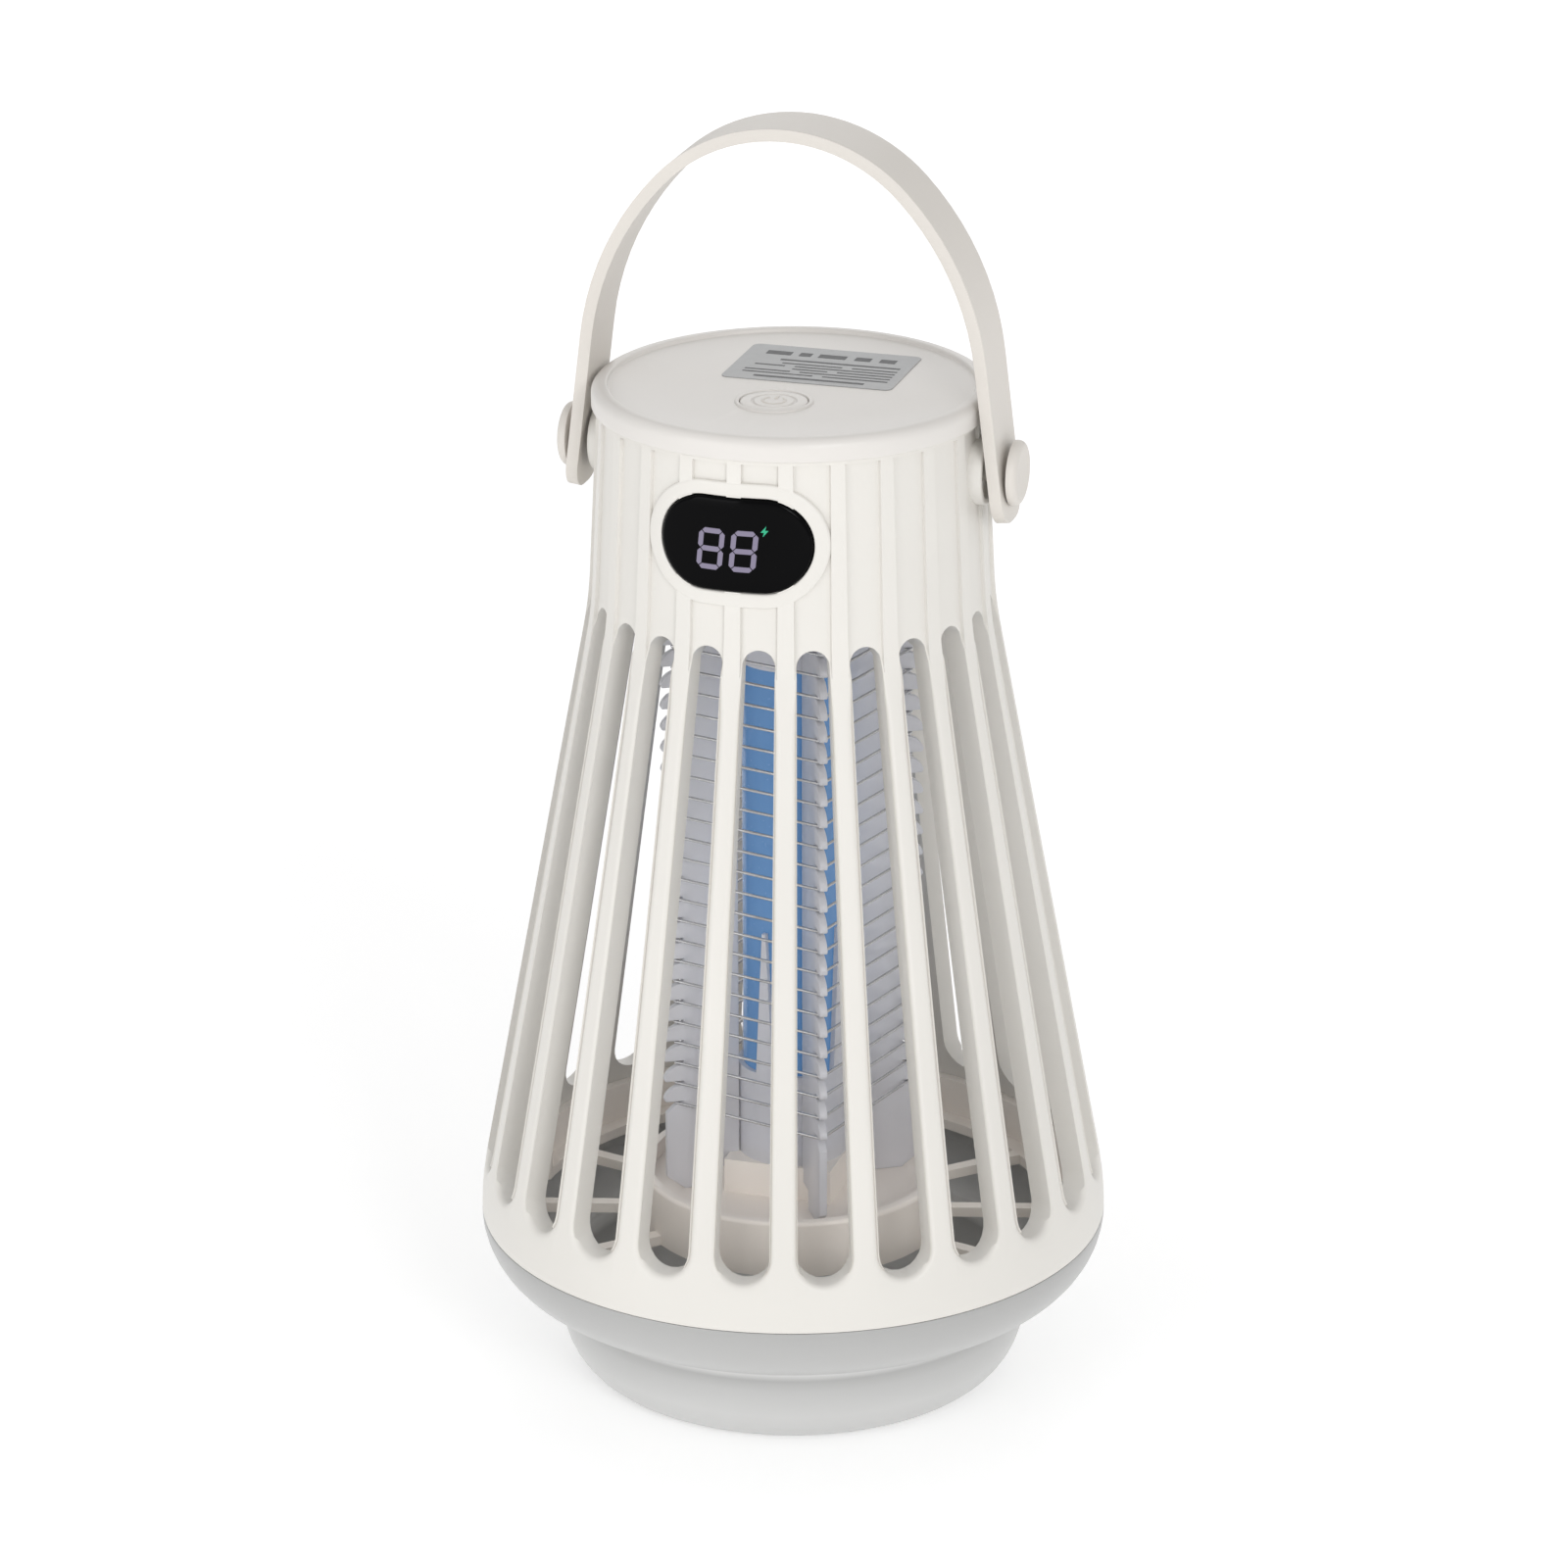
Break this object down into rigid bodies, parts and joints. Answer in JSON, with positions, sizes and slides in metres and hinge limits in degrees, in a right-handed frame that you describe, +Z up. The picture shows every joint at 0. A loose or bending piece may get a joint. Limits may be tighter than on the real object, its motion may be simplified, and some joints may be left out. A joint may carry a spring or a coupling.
{
  "type": "electric bug zapper",
  "caption": "Lantern-shaped rechargeable insect zapper: slotted conical cage over a lit wire grid, round head with display, swing handle and pull-off collecting tray.",
  "frame": {"origin": "middle of the tray's flat underside, on the surface it stands on", "axes": "+Z up along the lamp's axis; the display faces -Y; the handle's pins lie along X"},
  "size_m": [0.1248, 0.1248, 0.2553],
  "materials": {
    "white_plastic": "fine satin",
    "beige_plastic": "satin",
    "frosted_plastic": "frosted translucent",
    "fin_plastic": "satin, slightly translucent",
    "tube_plastic": "diffusing violet-blue",
    "black_lens": "polished",
    "digit_light": "lit lilac",
    "icon_light": "lit green",
    "label_foil": "silver grey film",
    "steel": "bright",
    "board_green": "solder mask",
    "led_white": "moulded",
    "cell_wrap": "shrink wrap over a metal can",
    "black_plastic": "satin",
    "ferrite": "matt",
    "capacitor_red": "dipped",
    "seal_rubber": "soft"
  },
  "bodies": {
    "housing": {"head_shell": "white_plastic", "cage_bars": "white_plastic", "cage_ring": "white_plastic", "top_lid": "white_plastic", "rating_label": "label_foil", "tact_switch": "black_plastic", "display_lens": "black_lens", "display_digits": "digit_light", "charge_icon": "icon_light", "display_board": "board_green", "handle_pin_left": "white_plastic", "handle_pin_right": "white_plastic", "pin_nuts": "steel", "floor_rim": "beige_plastic", "floor_spokes": "beige_plastic", "grid_table": "beige_plastic", "floor_screws": "steel", "lower_cup": "fin_plastic", "upper_cup": "fin_plastic", "light_tube": "tube_plastic", "led_board": "board_green", "uv_leds": "led_white", "comb_fins": "fin_plastic", "grid_wires_live": "steel", "grid_wires_return": "steel", "grid_top_ring": "fin_plastic", "bay_floor": "white_plastic", "battery_cell": "cell_wrap", "battery_clips": "black_plastic", "main_board": "board_green", "board_screws": "steel", "hv_transformer": "ferrite", "hv_capacitor": "capacitor_red", "charge_socket": "steel"},
    "handle": {"handle_strap": "white_plastic"},
    "button": {"power_button": "white_plastic", "switch_plunger": "black_plastic"},
    "tray": {"bug_tray": "frosted_plastic", "tray_seal": "seal_rubber"}
  },
  "joints": [
    {"name": "handle_swing", "type": "hinge", "parent": "housing", "child": "handle", "pos_m": [0, 0, 0.19], "axis": [1, 0, 0], "range_deg": [-130, 130]},
    {"name": "button_press", "type": "slide", "parent": "housing", "child": "button", "axis": [0, 0, -1], "range_m": [0, 0.0006], "stiffness_N_per_m": 400},
    {"name": "tray_pull", "type": "slide", "parent": "housing", "child": "tray", "axis": [0, 0, -1], "range_m": [0, 0.012]}
  ]
}
